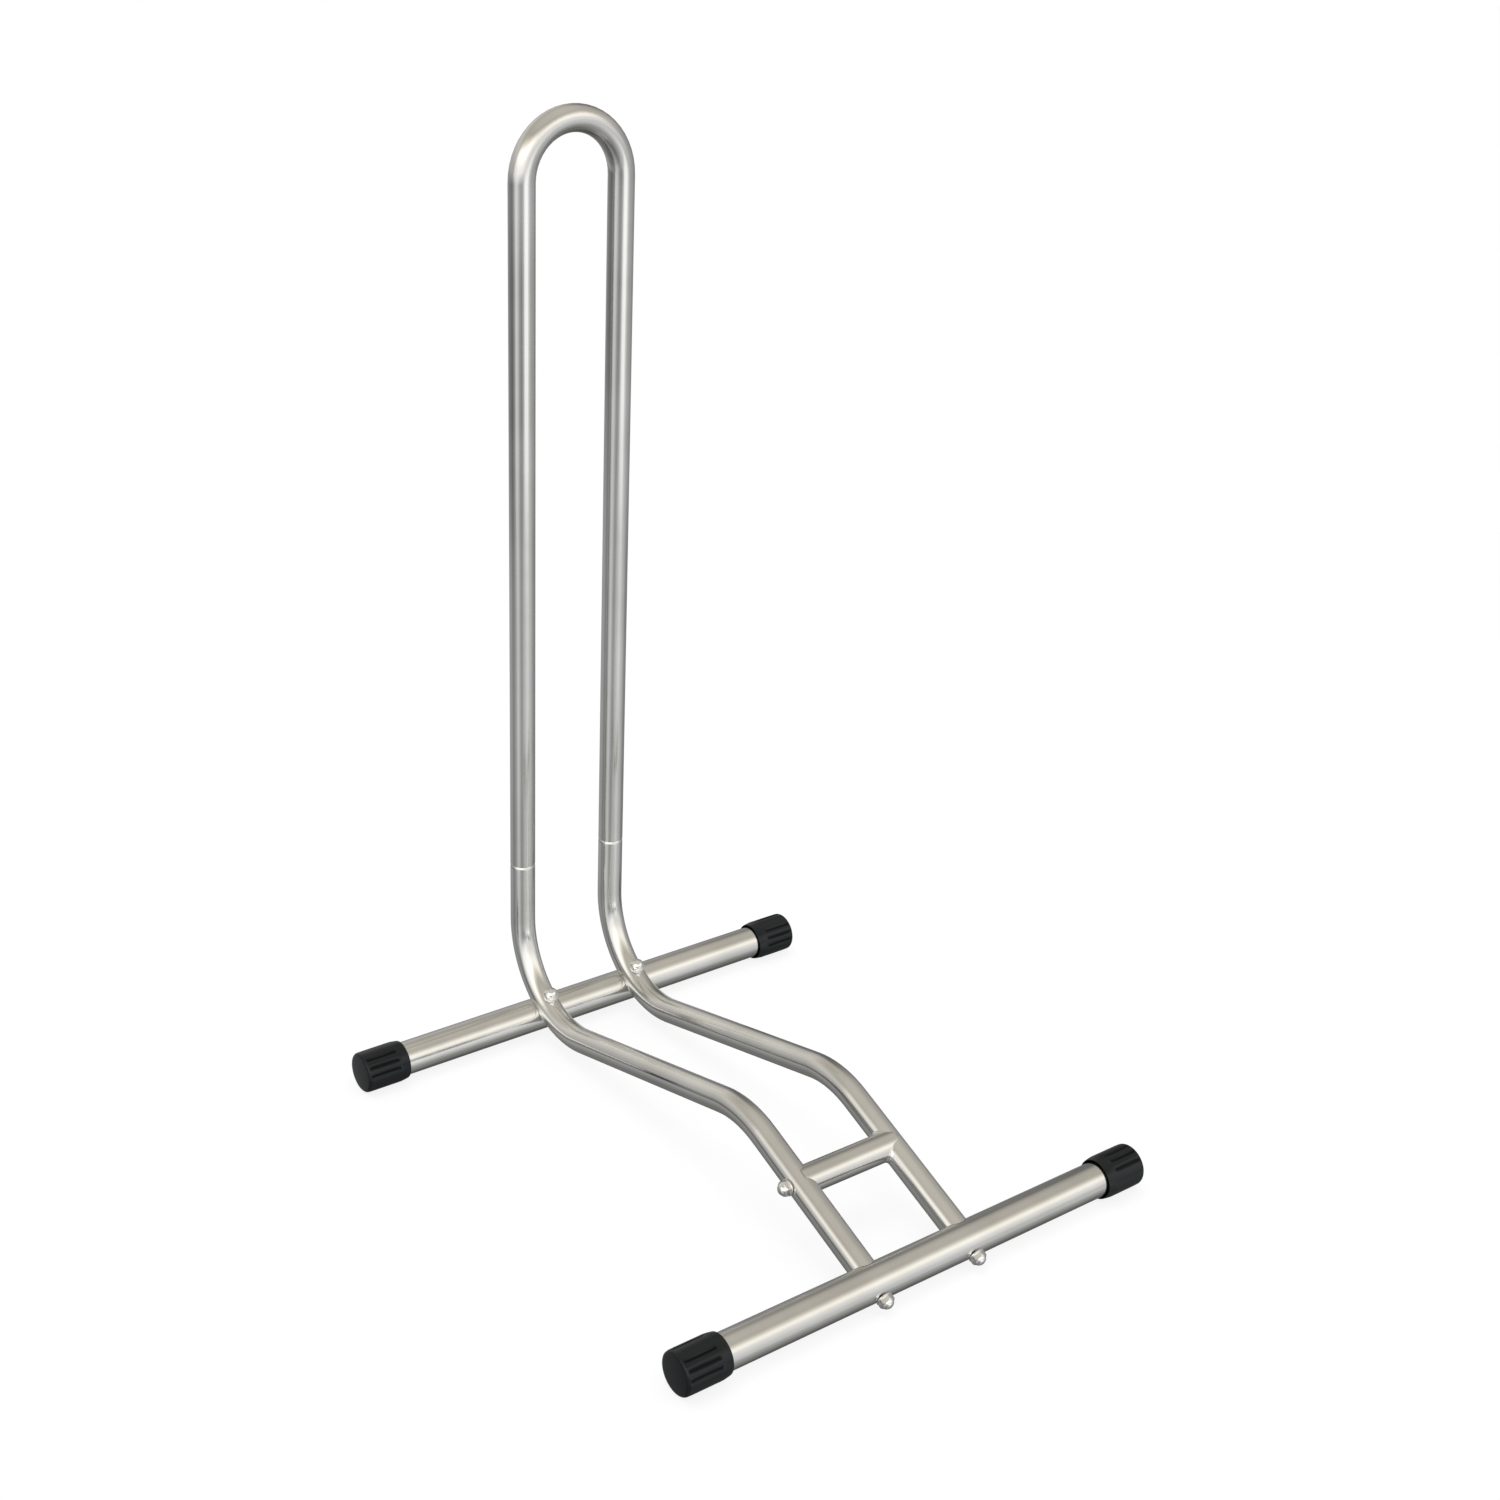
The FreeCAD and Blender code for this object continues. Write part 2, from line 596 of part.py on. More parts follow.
def make_front_joint(side):
    """Bolt through the front floor tube into a plug in the end of a frame tube."""
    centre = front_axis + Vector(SIDES[side] * half_spacing, 0, 0)
    outward = slope_up * -1
    plug_at = base_r + size("plug_depth")
    bore = size("frame_od") - 2 * size("frame_wall") - 2 * size("thread_gap")
    plug = make_plug(
        f"front_{side}",
        turned(outward, centre + slope_up * (plug_at + size("plug_length"))),
        "Sizes.frame_od - 2 * Sizes.frame_wall - 2 * Sizes.thread_gap",
        bore,
    )
    seat = base_r + size("fit_gap")
    return [plug, *make_fixing(f"front_{side}", centre + outward * seat, outward, seat + plug_at)]


def make_bar_joint(side):
    """Bolt through a frame tube into a plug in the end of the crossbar."""
    outward = Vector(SIDES[side], 0, 0)
    centre = bar_axis + outward * half_spacing
    plug_at = frame_r + size("plug_depth")
    bore = size("bar_od") - 2 * size("bar_wall") - 2 * size("thread_gap")
    plug = make_plug(
        f"bar_{side}",
        turned(outward, centre - outward * (plug_at + size("plug_length")), Vector(0, 1, 0)),
        "Sizes.bar_od - 2 * Sizes.bar_wall - 2 * Sizes.thread_gap",
        bore,
    )
    seat = frame_r + size("fit_gap")
    washer = make_washer(f"bar_{side}", turned(outward, centre + outward * seat, Vector(0, 1, 0)))
    head = centre + outward * (seat + size("washer_thick"))
    length = size("washer_thick") + seat + plug_at + size("bolt_bite")
    bolt = make_bolt(f"bar_{side}", turned(outward, head, Vector(0, 1, 0)), length)
    return [plug, washer, bolt]


def checked(item):
    """Stops the build on a failed object or a bad solid."""
    shape = item.Shape
    if shape.isNull() or not shape.isValid() or not shape.Solids:
        raise SystemExit(f"{item.Label}: no valid solid")
    return item


sub_parts = [make_hoop(), make_front_base_tube(), make_rear_base_tube(), make_crossbar()]
sub_parts += [make_foot_cap(corner) for corner in CAP_TURNS]
for name_of_side in SIDES:
    sub_parts.append(make_frame_tube(name_of_side))
    sub_parts += make_rear_joint(name_of_side)
    sub_parts += make_front_joint(name_of_side)
sub_parts += make_bar_joint(BOLTED_BAR_SIDE)
doc.recompute()

failed = [item.Label for item in doc.Objects if "Invalid" in item.State or "Error" in item.State]
if failed:
    raise SystemExit(f"failed objects: {failed}")

os.makedirs("parts", exist_ok=True)
for sub_part in sub_parts:
    checked(sub_part).Shape.exportStep(f"parts/{sub_part.Label}.step")
    print(f"{sub_part.Label}: {sub_part.Shape.Volume:.1f} cubic millimetres")
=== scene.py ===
"""Studio picture of a floor bike stand: satin tube, polished bolts and ribbed rubber feet, on white.

Lengths are in metres, in the same frame as the solids: -Y is the side a wheel rolls in from, +Z is up.
"""

import json
import math

import bpy
from mathutils import Matrix, Vector


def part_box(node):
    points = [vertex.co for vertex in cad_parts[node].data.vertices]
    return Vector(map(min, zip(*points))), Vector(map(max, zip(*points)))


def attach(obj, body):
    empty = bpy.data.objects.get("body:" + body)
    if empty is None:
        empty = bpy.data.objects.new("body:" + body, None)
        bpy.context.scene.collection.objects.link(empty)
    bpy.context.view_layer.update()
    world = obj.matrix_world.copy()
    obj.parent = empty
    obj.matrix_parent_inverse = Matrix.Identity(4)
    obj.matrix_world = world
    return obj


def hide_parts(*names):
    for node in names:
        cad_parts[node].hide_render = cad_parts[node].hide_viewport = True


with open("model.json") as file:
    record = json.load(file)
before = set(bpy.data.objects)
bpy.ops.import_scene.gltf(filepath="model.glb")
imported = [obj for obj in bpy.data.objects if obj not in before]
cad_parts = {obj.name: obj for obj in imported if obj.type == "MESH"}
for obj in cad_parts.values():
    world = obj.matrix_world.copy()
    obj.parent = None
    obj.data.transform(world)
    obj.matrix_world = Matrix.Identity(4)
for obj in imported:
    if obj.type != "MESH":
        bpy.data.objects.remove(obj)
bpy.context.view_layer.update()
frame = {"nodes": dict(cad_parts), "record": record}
scene = bpy.context.scene

# The camera stands where the photograph was taken from: in front, to the left and above.
CAMERA_PLACE = Vector((-0.8409, -1.0733, 0.9273))
CAMERA_AZIMUTH = math.radians(-38.193)
CAMERA_ELEVATION = math.radians(24.495)
CAMERA_ROLL = math.radians(2.582)
SENSOR_WIDTH = 36.0
CAMERA_LENS = 53.14

FLOOR_HALF = 30.0
# Paper and its own glow, from under the stand (0) out to the reach (1): the shadow lies on the paper,
# and the far sweep only glows.
PAPER_REACH = 3.0
PAPER_BY_DISTANCE = [(0.0, 0.17), (0.25, 0.17), (0.6, 0.0)]
PAPER_GLOW = [(0.0, 0.845), (0.25, 0.845), (0.6, 1.0)]

# What the tube mirrors, by height from straight down (0) to straight up (1): floor, horizon, warm ceiling.
ROOM_BY_HEIGHT = [
    (0.0, (0.17, 0.17, 0.165)),
    (0.12, (0.19, 0.19, 0.185)),
    (0.22, (0.27, 0.27, 0.265)),
    (0.3, (0.38, 0.385, 0.385)),
    (0.42, (0.41, 0.415, 0.415)),
    (0.55, (0.43, 0.425, 0.41)),
    (0.72, (0.6, 0.58, 0.535)),
    (0.86, (0.56, 0.525, 0.46)),
    (1.0, (0.66, 0.63, 0.56)),
]
# How bright the room is round the stand, from behind it (0) by its left, its front (0.5) and its right:
# low down, at the height that the hoop's legs mirror, higher up, and at the ceiling.
LOW_ROOM_ROUND = [
    (0.0, 1.1),
    (0.1, 1.12),
    (0.17, 0.75),
    (0.24, 1.1),
    (0.305, 1.95),
    (0.394, 1.0),
    (0.42, 1.2),
    (0.45, 1.6),
    (0.55, 2.2),
    (0.606, 1.75),
    (0.65, 1.45),
    (0.73, 0.8),
    (0.88, 0.55),
    (1.0, 1.1),
]
LEG_ROOM_ROUND = [
    (0.0, 0.9),
    (0.1, 0.55),
    (0.17, 0.4),
    (0.225, 0.8),
    (0.28, 2.1),
    (0.32, 1.75),
    (0.36, 1.0),
    (0.405, 0.72),
    (0.445, 1.25),
    (0.49, 3.2),
    (0.545, 3.3),
    (0.585, 1.9),
    (0.635, 1.25),
    (0.7, 1.1),
    (0.77, 0.85),
    (0.88, 0.53),
    (1.0, 0.9),
]
HIGH_ROOM_ROUND = [
    (0.0, 1.35),
    (0.09, 1.25),
    (0.18, 1.2),
    (0.235, 2.5),
    (0.317, 3.0),
    (0.4, 3.0),
    (0.49, 2.2),
    (0.57, 2.25),
    (0.62, 2.2),
    (0.7, 1.1),
    (0.8, 0.8),
    (0.88, 0.35),
    (0.94, 1.1),
    (1.0, 1.35),
]
CEILING_ROUND = [(0.0, 1.0), (1.0, 1.0)]
# These rooms from the floor up, and the heights between which each gives way to the next.
ROOMS = [LOW_ROOM_ROUND, LEG_ROOM_ROUND, HIGH_ROOM_ROUND, CEILING_ROUND]
ROOM_CHANGES = [(0.335, 0.36), (0.42, 0.52), (0.76, 0.9)]
# Even white light from all round, and two soft lamps: name, place, aim, size and power.
EVEN_LIGHT = 0.75
SOFTBOXES = [
    ("window softbox", (1.5, -1.8, 1.45), (0.0, 0.0, 0.3), (1.5, 1.5), 10.0),
    ("overhead softbox", (-0.3, 0.3, 2.6), (0.0, 0.0, 0.0), (1.6, 1.6), 20.0),
]

WHITE = (1.0, 1.0, 1.0, 1.0)
# Painted shade and sheen on the foot caps: black colour in the grooves, and a reflection that is strong on
# the ribs and weak in the grooves.
PAINTED_GROOVE_SHADE = (0.001, 0.001, 0.0015, 1.0)
PAINTED_RIB_SHEEN = 0.5
PAINTED_GROOVE_SHEEN = 0.1
# Sockets of a colour mix node, which share their names with its other kinds.
MIX_FACTOR, MIX_FIRST, MIX_SECOND, MIX_RESULT = 0, 6, 7, 2
# A finish drifts slowly over a piece, and a fine grain shows in its gloss and in its bump.
DRIFT_SCALE = 18.0
DRIFT_DETAIL = 3.0
DRIFT_SPAN = (0.3, 0.7)
GRAIN_DETAIL = 4.0
GRAIN_IN_GLOSS = 0.35
GRAIN_IN_BUMP = 0.25
GLOSS_SPAN = (0.35, 0.95)

MM = 0.001
MERGE_WITHIN = 0.01 * MM
SIDES = {"left": -1, "right": 1}
SLOTS = {entry["node"]: entry["material_slot"] for entry in frame["record"]["subparts"]}

# The bent tubes, and the bodies that they ride on.
BENT_TUBES = {"upper_hoop": "hoop", "left_frame_tube": "base", "right_frame_tube": "base"}
# Edges up to these angles are shaded smooth.
TUBE_SMOOTH = math.radians(30)
BOLT_SMOOTH = math.radians(25)
WASHER_SMOOTH = math.radians(30)

# Foot caps, in mm: measured from the open end along the cap, and out from its middle.
CAP_SEGMENTS = 144
CAP_BORE = 12.8
CAP_RADIUS = 15.4
# Farther out than this is the cap's outside.
CAP_OUTSIDE = CAP_BORE + 1.0
CAP_BORE_END = 32.1
CAP_LENGTH = 35.5
CAP_CROWN = 0.6
CAP_EDGE = 2.5
CAP_EDGE_STEPS = 4
CAP_MOUTH = [(3.2, CAP_BORE), (2.5, 12.88), (0.4, 13.95), (0.05, 14.12), (0.05, 14.4), (0.35, 14.63)]
CAP_TAPER_END = [(5.2, 15.3), (6.2, CAP_RADIUS)]
GROOVE_START = 8.0
GROOVE_RUN_IN = 1.5
GROOVE_RUN_OUT = CAP_EDGE / 8
# Degrees from one groove to the next, and from the front group to the back one, in whole segments.
GROOVE_PITCH = 25
GROOVE_GROUPS = 105
# A groove sinks in steps: each reaches so many degrees round from its middle, and goes so much deeper.
GROOVE_STEPS = [(7.0, 0.25), (4.5, 0.45), (2.0, 0.4)]
# Where the grooves' painted shade lies on the mesh, and how many degrees round from each groove's middle it
# fades out.
GROOVE_SHADE_MARK = "groove"
GROOVE_SHADE_REACH = 7.5
# Turn of each cap on its tube: degrees from the front, upwards, to the middle of its front grooves.
CAP_TURNS = {"front_left": 37, "front_right": 73, "rear_left": 37, "rear_right": 28}

# Bolts and washers, in mm.
BOLT_RADIUS = 3.0
THREAD_PITCH = 1.0
THREAD_DEPTH = 0.35
THREAD_END = 1.0
HEX_FLATS = 10.0
HEX_HEIGHT = 4.0
HEX_EASE = 0.25
HEX_EDGE_ANGLE = math.radians(20)
DOME_RADIUS = 4.5
DOME_HEIGHT = 2.8
CORNER_BALL = 7.2
CORNER_BALL_DROP = 1.5
WASHER_RADIUS = 6.0
WASHER_BORE = 3.3
WASHER_THICK = 1.0
WASHER_EASE = 0.18
ROUND_SEGMENTS = 48
DOME_STEPS = 10

# The weld round one end of the crossbar, in mm. Its leg is how far it runs out on each tube, its sink is how
# far its edges lie under their skin, and its root is a share of the way out to the corner.
WELD_POINTS = 96
WELD_STEPS = 6
WELD_LEG = 2.6
WELD_SINK = 0.05
WELD_ROOT = 0.87

# Each bolted joint, and the tube whose middle line its bolt points out from.
BOLT_LINES = {
    "front_left": "front_base_tube",
    "front_right": "front_base_tube",
    "rear_left": "rear_base_tube",
    "rear_right": "rear_base_tube",
    "bar_left": "crossbar",
}


def new_material(name):
    """An empty node material, and its tree."""
    material = bpy.data.materials.new(name)
    material.use_nodes = True
    material.node_tree.nodes.clear()
    return material, material.node_tree


def add_node(tree, kind, **settings):
    """Adds a node; settings are its own properties, or socket values given as inputs={name: value}."""
    node = tree.nodes.new(kind)
    for socket, value in settings.pop("inputs", {}).items():
        node.inputs[socket].default_value = value
    for name, value in settings.items():
        setattr(node, name, value)
    return node


def ramp(tree, factor, stops):
    """An eased colour ramp fed by factor; stops are (position, grey or colour)."""
    node = add_node(tree, "ShaderNodeValToRGB")
    node.color_ramp.interpolation = "EASE"
    elements = node.color_ramp.elements
    while len(elements) < len(stops):
        elements.new(0.5)
    for element, (position, value) in zip(elements, stops):
        colour = value if isinstance(value, tuple) else (value, value, value)
        element.position = position
        element.color = (*colour, 1.0)
    tree.links.new(factor, node.inputs["Fac"])
    return node.outputs["Color"]


def noise(tree, coordinates, scale, detail):
    """Noise on object coordinates."""
    node = add_node(tree, "ShaderNodeTexNoise", inputs={"Scale": scale, "Detail": detail})
    tree.links.new(coordinates, node.inputs["Vector"])
    return node.outputs["Fac"]


def surface(name, colours, roughness, metallic, grain, grain_depth, **extra):
    """A surface whose colour and roughness drift over it, with a fine grain that catches the light."""
    material, tree = new_material(name)
    place = add_node(tree, "ShaderNodeTexCoord").outputs["Object"]
    shader = add_node(tree, "ShaderNodeBsdfPrincipled", inputs={"Metallic": metallic, **extra})
    drift = noise(tree, place, DRIFT_SCALE, DRIFT_DETAIL)
    tree.links.new(ramp(tree, drift, list(zip(DRIFT_SPAN, colours))), shader.inputs["Base Color"])
    fine = noise(tree, place, grain, GRAIN_DETAIL)
    mixed = add_node(tree, "ShaderNodeMath", operation="MULTIPLY_ADD", inputs={1: GRAIN_IN_GLOSS})
    tree.links.new(fine, mixed.inputs[0])
    tree.links.new(drift, mixed.inputs[2])
    gloss = ramp(tree, mixed.outputs[0], list(zip(GLOSS_SPAN, roughness)))
    tree.links.new(gloss, shader.inputs["Roughness"])
    bump = add_node(tree, "ShaderNodeBump", inputs={"Strength": GRAIN_IN_BUMP, "Distance": grain_depth})
    tree.links.new(fine, bump.inputs["Height"])
    tree.links.new(bump.outputs["Normal"], shader.inputs["Normal"])
    output = add_node(tree, "ShaderNodeOutputMaterial")
    tree.links.new(shader.outputs["BSDF"], output.inputs["Surface"])
    return material


MATERIALS = {
    "tube_steel": surface(
        "satin tube steel",
        colours=((0.66, 0.655, 0.64), (0.74, 0.735, 0.725)),
        roughness=(0.1, 0.18),
        metallic=1.0,
        grain=900.0,
        grain_depth=0.00002,
    ),
    "bright_fixings": surface(
        "polished bolt steel",
        colours=((0.8, 0.8, 0.79), (0.88, 0.88, 0.88)),
        roughness=(0.06, 0.13),
        metallic=1.0,
        grain=1500.0,
        grain_depth=0.00001,
    ),
    "plain_steel": surface(
        "plain turned steel",
        colours=((0.4, 0.4, 0.41), (0.5, 0.5, 0.5)),
        roughness=(0.3, 0.45),
        metallic=1.0,
        grain=1200.0,
        grain_depth=0.00003,
    ),
    "foot_rubber": surface(
        "black foot rubber",
        colours=((0.005, 0.006, 0.007), (0.008, 0.0095, 0.011)),
        roughness=(0.17, 0.27),
        metallic=0.0,
        grain=1400.0,
        grain_depth=0.00006,
        **{"IOR": 1.4, "Specular Tint": (0.86, 0.95, 1.0, 1.0)},
    ),
}


def paint_groove_shade(material):
    """Painted shade in the grooves, marked on the mesh: there the rubber turns black and its reflection is
    turned down, with a painted sheen on the ribs.
    """
    tree = material.node_tree
    shader = next(node for node in tree.nodes if node.type == "BSDF_PRINCIPLED")
    groove = add_node(tree, "ShaderNodeAttribute", attribute_name=GROOVE_SHADE_MARK).outputs["Fac"]
    rubber_colour = shader.inputs["Base Color"].links[0].from_socket
    shade = add_node(tree, "ShaderNodeMix", data_type="RGBA", inputs={MIX_SECOND: PAINTED_GROOVE_SHADE})
    tree.links.new(groove, shade.inputs[MIX_FACTOR])
    tree.links.new(rubber_colour, shade.inputs[MIX_FIRST])
    tree.links.new(shade.outputs[MIX_RESULT], shader.inputs["Base Color"])
    painted_sheen = add_node(tree, "ShaderNodeMapRange", inputs={"To Min": PAINTED_RIB_SHEEN, "To Max": PAINTED_GROOVE_SHEEN})
    tree.links.new(groove, painted_sheen.inputs["Value"])
    tree.links.new(painted_sheen.outputs[0], shader.inputs["Specular IOR Level"])


paint_groove_shade(MATERIALS["foot_rubber"])


def dress_solids():
    """Gives every carried-over solid the full material of its slot."""
    for node, solid in frame["nodes"].items():
        solid.data.materials.clear()
        solid.data.materials.append(MATERIALS[SLOTS[node]])


def open_piece(piece):
    """Opens one piece for editing, with nothing else selected."""
    bpy.ops.object.select_all(action="DESELECT")
    piece.select_set(True)
    bpy.context.view_layer.objects.active = piece
    bpy.ops.object.mode_set(mode="EDIT")


def close_piece():
    """Merges what meets, turns all faces outwards and leaves edit mode."""
    bpy.ops.mesh.select_all(action="SELECT")
    bpy.ops.mesh.remove_doubles(threshold=MERGE_WITHIN)
    bpy.ops.mesh.normals_make_consistent(inside=False)
    bpy.ops.object.mode_set(mode="OBJECT")


def pick_points(piece, wanted):
    """In edit mode, selects the points whose place passes a test."""
    bpy.ops.mesh.select_mode(type="VERT")
    bpy.ops.mesh.select_all(action="DESELECT")
    bpy.ops.object.mode_set(mode="OBJECT")
    for point in piece.data.vertices:
        point.select = wanted(point.co)
    bpy.ops.object.mode_set(mode="EDIT")


def apply_modifier(piece, kind, **settings):
    """Adds a modifier to the piece and applies it."""
    bpy.ops.object.select_all(action="DESELECT")
    piece.select_set(True)
    bpy.context.view_layer.objects.active = piece
    modifier = piece.modifiers.new(kind.lower(), kind)
    for name, value in settings.items():
        setattr(modifier, name, value)
    bpy.ops.object.modifier_apply(modifier=modifier.name)


def turn_piece(name, profile, segments, closed=False):
    """Draws a circle on along (height, radius) steps in mm; closed brings it back to where it began."""
    bpy.ops.object.select_all(action="DESELECT")
    height, radius = profile[0]
    bpy.ops.mesh.primitive_circle_add(vertices=segments, radius=radius * MM, location=(0, 0, height * MM))
    piece = bpy.context.active_object
    piece.name = name
    bpy.ops.object.transform_apply(location=True)
    bpy.ops.object.mode_set(mode="EDIT")
    bpy.ops.mesh.select_all(action="SELECT")
    for next_height, next_radius in profile[1:] + profile[: 1 if closed else 0]:
        climb = (next_height - height) * MM
        bpy.ops.mesh.extrude_edges_move(TRANSFORM_OT_translate={"value": (0, 0, climb)})
        if next_radius == 0:
            bpy.ops.mesh.merge(type="CENTER")
            break
        swell = next_radius / radius
        bpy.ops.transform.resize(value=(swell, swell, 1), center_override=(0, 0, next_height * MM))
        height, radius = next_height, next_radius
    close_piece()
    return piece


def close_ends(piece):
    """Fills every open end of a turned piece."""
    open_piece(piece)
    bpy.ops.mesh.select_all(action="SELECT")
    bpy.ops.mesh.fill_holes(sides=0)
    close_piece()


def make_one(piece, other):
    """Makes one solid of two closed pieces that overlap."""
    apply_modifier(piece, "BOOLEAN", operation="UNION", object=other, solver="EXACT")
    bpy.data.objects.remove(other)


def dome(start, radius, rise, steps):
    """Steps of a ball's cap over a circle, up to its top."""
    ball = (radius**2 + rise**2) / (2 * rise)
    reach = math.asin(radius / ball)
    angles = [reach * (1 - step / steps) for step in range(1, steps)]
    rounds = [(start + rise - ball * (1 - math.cos(angle)), ball * math.sin(angle)) for angle in angles]
    return rounds + [(start + rise, 0)]


def model_cap():
    """One rubber foot: an eased mouth, a short taper, two groups of grip grooves and a soft closed end."""
    edge_start = CAP_LENGTH - CAP_CROWN - CAP_EDGE
    quarter = [math.pi / 2 * step / CAP_EDGE_STEPS for step in range(1, CAP_EDGE_STEPS + 1)]
    end_radius = CAP_RADIUS - CAP_EDGE
    edge = [
        (edge_start + CAP_EDGE * math.sin(angle), end_radius + CAP_EDGE * math.cos(angle))
        for angle in quarter
    ]
    side = [(start, CAP_RADIUS) for start in (GROOVE_START, GROOVE_START + GROOVE_RUN_IN, edge_start)]
    end = dome(CAP_LENGTH - CAP_CROWN, end_radius, CAP_CROWN, CAP_EDGE_STEPS)
    profile = [(CAP_BORE_END, CAP_BORE)] + CAP_MOUTH + CAP_TAPER_END + side + edge + end[:-1]
    cap = turn_piece("foot_cap", profile, CAP_SEGMENTS)
    open_piece(cap)
    half_segment = 180 / CAP_SEGMENTS
    steps = [-GROOVE_PITCH, 0, GROOVE_PITCH]
    middles = [half_segment + group + step for group in (0, GROOVE_GROUPS) for step in steps]
    low, high = GROOVE_START + GROOVE_RUN_IN / 2, edge_start + GROOVE_RUN_OUT

    def from_groove(place):
        """Degrees round from the nearest groove's middle, or a half turn where the cap has no grooves."""
        if not low < place.z / MM < high or place.xy.length < CAP_OUTSIDE * MM:
            return 180
        angle = math.degrees(math.atan2(place.y, place.x))
        return min(abs((angle - middle + 180) % 360 - 180) for middle in middles)

    for reach, sink in GROOVE_STEPS:
        pick_points(cap, lambda place: from_groove(place) < reach)
        bpy.ops.transform.shrink_fatten(value=-sink * MM)
    bpy.ops.object.mode_set(mode="OBJECT")
    apply_modifier(cap, "SUBSURF", levels=1, render_levels=1)
    # Marks the painted shade of the grooves, fading out from each groove's middle.
    groove_shade_marks = cap.data.attributes.new(GROOVE_SHADE_MARK, "FLOAT", "POINT")
    for point, mark in zip(cap.data.vertices, groove_shade_marks.data):
        mark.value = max(0.0, 1 - from_groove(point.co) / GROOVE_SHADE_REACH)
    close_ends(cap)
    bpy.ops.object.shade_smooth()
    return cap


def model_washer():
    """One plain washer with eased edges, lying on its seat."""
    inner, outer, top = WASHER_BORE, WASHER_RADIUS, WASHER_THICK
    ease = WASHER_EASE
    rim = [(ease, inner), (0, inner + ease), (0, outer - ease), (ease, outer)]
    lid = [(top - ease, outer), (top, outer - ease), (top, inner + ease), (top - ease, inner)]
    washer = turn_piece("washer", rim + lid, ROUND_SEGMENTS, closed=True)
    bpy.ops.object.shade_smooth_by_angle(angle=WASHER_SMOOTH)
    return washer


def model_head():
    """One bolt head, seat down: a hexagon with its top corners turned off, under a polished dome."""
    corner = HEX_FLATS / math.sqrt(3) * MM
    bpy.ops.object.select_all(action="DESELECT")
    bpy.ops.mesh.primitive_cylinder_add(
        vertices=6, radius=corner, depth=HEX_HEIGHT * MM, location=(0, 0, HEX_HEIGHT / 2 * MM)
    )
    head = bpy.context.active_object
    head.name = "bolt_head"
    bpy.ops.object.transform_apply(location=True)
    bpy.ops.mesh.primitive_uv_sphere_add(
        segments=2 * ROUND_SEGMENTS,
        ring_count=ROUND_SEGMENTS,
        radius=CORNER_BALL * MM,
        location=(0, 0, -CORNER_BALL_DROP * MM),
    )
    ball = bpy.context.active_object
    apply_modifier(head, "BOOLEAN", operation="INTERSECT", object=ball, solver="EXACT")
    bpy.data.objects.remove(ball)
    ease = HEX_EASE / 2 * MM
    apply_modifier(head, "BEVEL", width=ease, segments=2, limit_method="ANGLE", angle_limit=HEX_EDGE_ANGLE)
    collar = [(HEX_HEIGHT - HEX_EASE, DOME_RADIUS), (HEX_HEIGHT, DOME_RADIUS)]
    rounds = dome(HEX_HEIGHT, DOME_RADIUS, DOME_HEIGHT, DOME_STEPS)
    polished = turn_piece("bolt_dome", collar + rounds, ROUND_SEGMENTS)
    close_ends(polished)
    make_one(head, polished)
    return head


def model_shank(length):
    """A threaded shank of a length in mm, from under the head down."""
    turns = int((length - THREAD_END) / THREAD_PITCH)
    profile = [(HEX_EASE, BOLT_RADIUS)]
    for turn in range(turns):
        crest = -turn * THREAD_PITCH
        profile.append((crest, BOLT_RADIUS))
        profile.append((crest - THREAD_PITCH / 2, BOLT_RADIUS - THREAD_DEPTH))
    tip = BOLT_RADIUS - 2 * THREAD_DEPTH
    profile += [(-length + THREAD_PITCH / 2, tip), (-length, tip - THREAD_DEPTH), (-length, 0)]
    shank = turn_piece("bolt_shank", profile, ROUND_SEGMENTS)
    close_ends(shank)
    return shank


def copy_piece(model, name, placement):
    """A copy of a modelled piece with its own mesh, put in its place."""
    bpy.ops.object.select_all(action="DESELECT")
    model.select_set(True)
    bpy.context.view_layer.objects.active = model
    bpy.ops.object.duplicate()
    piece = bpy.context.active_object
    piece.name = name
    piece.matrix_world = placement
    bpy.ops.object.transform_apply(location=True, rotation=True, scale=True)
    return piece


def stand_for(piece, node, body="base"):
    """The piece takes a solid's place, its body and its finish."""
    piece.data.materials.clear()
    piece.data.materials.append(MATERIALS[SLOTS[node]])
    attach(piece, body)
    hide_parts(node)


def middle_of(node):
    """The middle of a solid's box."""
    low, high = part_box(node)
    return (Vector(low) + Vector(high)) / 2


def looking(along, across, origin):
    """A placement at origin with its z along one way and its x along another, square to it."""
    turn = Matrix((across, along.cross(across), along)).transposed()
    return Matrix.Translation(origin) @ turn.to_4x4()


def put_bent_tubes():
    """Copies of the bent tubes with their faces joined, so that the shine runs on from bend to straight."""
    for node, body in BENT_TUBES.items():
        tube = bpy.data.objects.new(f"bent_{node}", frame["nodes"][node].data.copy())
        scene.collection.objects.link(tube)
        open_piece(tube)
        bpy.ops.mesh.customdata_custom_splitnormals_clear()
        close_piece()
        bpy.ops.object.shade_smooth_by_angle(angle=TUBE_SMOOTH)
        stand_for(tube, node, body)


